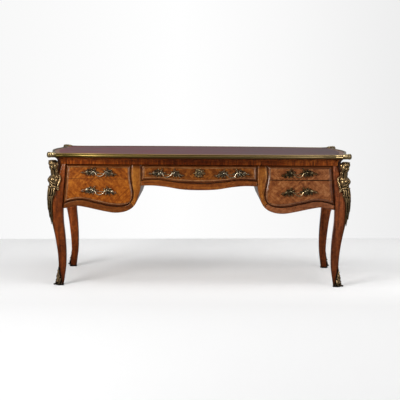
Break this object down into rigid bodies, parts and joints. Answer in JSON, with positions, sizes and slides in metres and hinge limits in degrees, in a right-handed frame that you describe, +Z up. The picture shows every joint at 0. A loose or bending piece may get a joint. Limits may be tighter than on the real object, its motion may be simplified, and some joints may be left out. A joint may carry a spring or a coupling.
{
  "type": "writing desk",
  "caption": "Flat-topped writing desk with a bowed leather top, serpentine pedestals of drawers, a kneehole and cabriole legs dressed with gilt bronze busts, sabots and drop pulls.",
  "frame": {"origin": "on the floor, under the middle of the top", "axes": "+X along the top towards the pedestal with two drawers, -Y towards the sitter, +Z up"},
  "size_m": [1.834, 0.95, 0.806],
  "materials": {
    "veneer": "polished quarter-matched veneer",
    "leg_wood": "polished red-brown hardwood",
    "oak": "planed, unpolished",
    "leather": "polished",
    "brass": "polished, lightly tarnished",
    "bronze": "cast, chased and gilt, patinated",
    "steel": "filed"
  },
  "bodies": {
    "carcase": {"leg_front_left": "leg_wood", "leg_front_right": "leg_wood", "leg_rear_left": "leg_wood", "leg_rear_right": "leg_wood", "front_stile_left": "veneer", "front_stile_right": "veneer", "front_apron_left": "veneer", "front_apron_right": "veneer", "front_apron_centre": "veneer", "back_panel_left": "veneer", "back_panel_right": "veneer", "back_panel_centre": "veneer", "end_panel_left": "veneer", "end_panel_right": "veneer", "inner_panel_left": "veneer", "inner_panel_right": "veneer", "pedestal_bed_left": "oak", "pedestal_bed_right": "oak", "right_drawer_divider": "oak", "centre_bed": "oak", "frieze_rail": "veneer", "top_board": "veneer", "leather_panel": "leather", "brass_edge": "brass", "top_clasp_front_left": "bronze", "top_clasp_front_right": "bronze", "top_clasp_rear_left": "bronze", "top_clasp_rear_right": "bronze", "bust_front_left": "bronze", "bust_front_right": "bronze", "bust_rear_left": "bronze", "bust_rear_right": "bronze", "sabot_front_left": "bronze", "sabot_front_right": "bronze", "sabot_rear_left": "bronze", "sabot_rear_right": "bronze"},
    "left_drawer": {"left_drawer_front": "veneer", "left_drawer_box": "oak", "left_upper_pull_plate": "bronze", "left_lower_pull_plate": "bronze"},
    "centre_drawer": {"centre_drawer_front": "veneer", "centre_drawer_box": "oak", "centre_left_pull_plate": "bronze", "centre_right_pull_plate": "bronze", "escutcheon": "bronze", "lock_case": "brass"},
    "right_upper_drawer": {"right_upper_drawer_front": "veneer", "right_upper_drawer_box": "oak", "right_upper_pull_plate": "bronze"},
    "right_lower_drawer": {"right_lower_drawer_front": "veneer", "right_lower_drawer_box": "oak", "right_lower_pull_plate": "bronze"},
    "left_upper_pull_bail": {"left_upper_pull_bail": "bronze"},
    "left_lower_pull_bail": {"left_lower_pull_bail": "bronze"},
    "centre_left_pull_bail": {"centre_left_pull_bail": "bronze"},
    "centre_right_pull_bail": {"centre_right_pull_bail": "bronze"},
    "right_upper_pull_bail": {"right_upper_pull_bail": "bronze"},
    "right_lower_pull_bail": {"right_lower_pull_bail": "bronze"},
    "lock_bolt": {"lock_bolt": "steel"}
  },
  "joints": [
    {"name": "left_drawer_slide", "type": "slide", "parent": "carcase", "child": "left_drawer", "axis": [0, -1, 0], "range_m": [0, 0.42]},
    {"name": "centre_drawer_slide", "type": "slide", "parent": "carcase", "child": "centre_drawer", "axis": [0, -1, 0], "range_m": [0, 0.42]},
    {"name": "right_upper_drawer_slide", "type": "slide", "parent": "carcase", "child": "right_upper_drawer", "axis": [0, -1, 0], "range_m": [0, 0.42]},
    {"name": "right_lower_drawer_slide", "type": "slide", "parent": "carcase", "child": "right_lower_drawer", "axis": [0, -1, 0], "range_m": [0, 0.42]},
    {"name": "left_upper_pull_swing", "type": "hinge", "parent": "left_drawer", "child": "left_upper_pull_bail", "pos_m": [-0.59031, -0.40844, 0.68582], "axis": [-1, 0, 0], "range_deg": [0, 85]},
    {"name": "left_lower_pull_swing", "type": "hinge", "parent": "left_drawer", "child": "left_lower_pull_bail", "pos_m": [-0.59031, -0.42535, 0.57687], "axis": [-1, 0, 0], "range_deg": [0, 85]},
    {"name": "centre_left_pull_swing", "type": "hinge", "parent": "centre_drawer", "child": "centre_left_pull_bail", "pos_m": [-0.19, -0.40897, 0.68282], "axis": [-1, 0, 0], "range_deg": [0, 85]},
    {"name": "centre_right_pull_swing", "type": "hinge", "parent": "centre_drawer", "child": "centre_right_pull_bail", "pos_m": [0.19, -0.40897, 0.68282], "axis": [-1, 0, 0], "range_deg": [0, 85]},
    {"name": "right_upper_pull_swing", "type": "hinge", "parent": "right_upper_drawer", "child": "right_upper_pull_bail", "pos_m": [0.59031, -0.40844, 0.68582], "axis": [-1, 0, 0], "range_deg": [0, 85]},
    {"name": "right_lower_pull_swing", "type": "hinge", "parent": "right_lower_drawer", "child": "right_lower_pull_bail", "pos_m": [0.59031, -0.42535, 0.57687], "axis": [-1, 0, 0], "range_deg": [0, 85]},
    {"name": "lock_bolt_throw", "type": "slide", "parent": "centre_drawer", "child": "lock_bolt", "axis": [0, 0, 1], "range_m": [0, 0.009]}
  ]
}
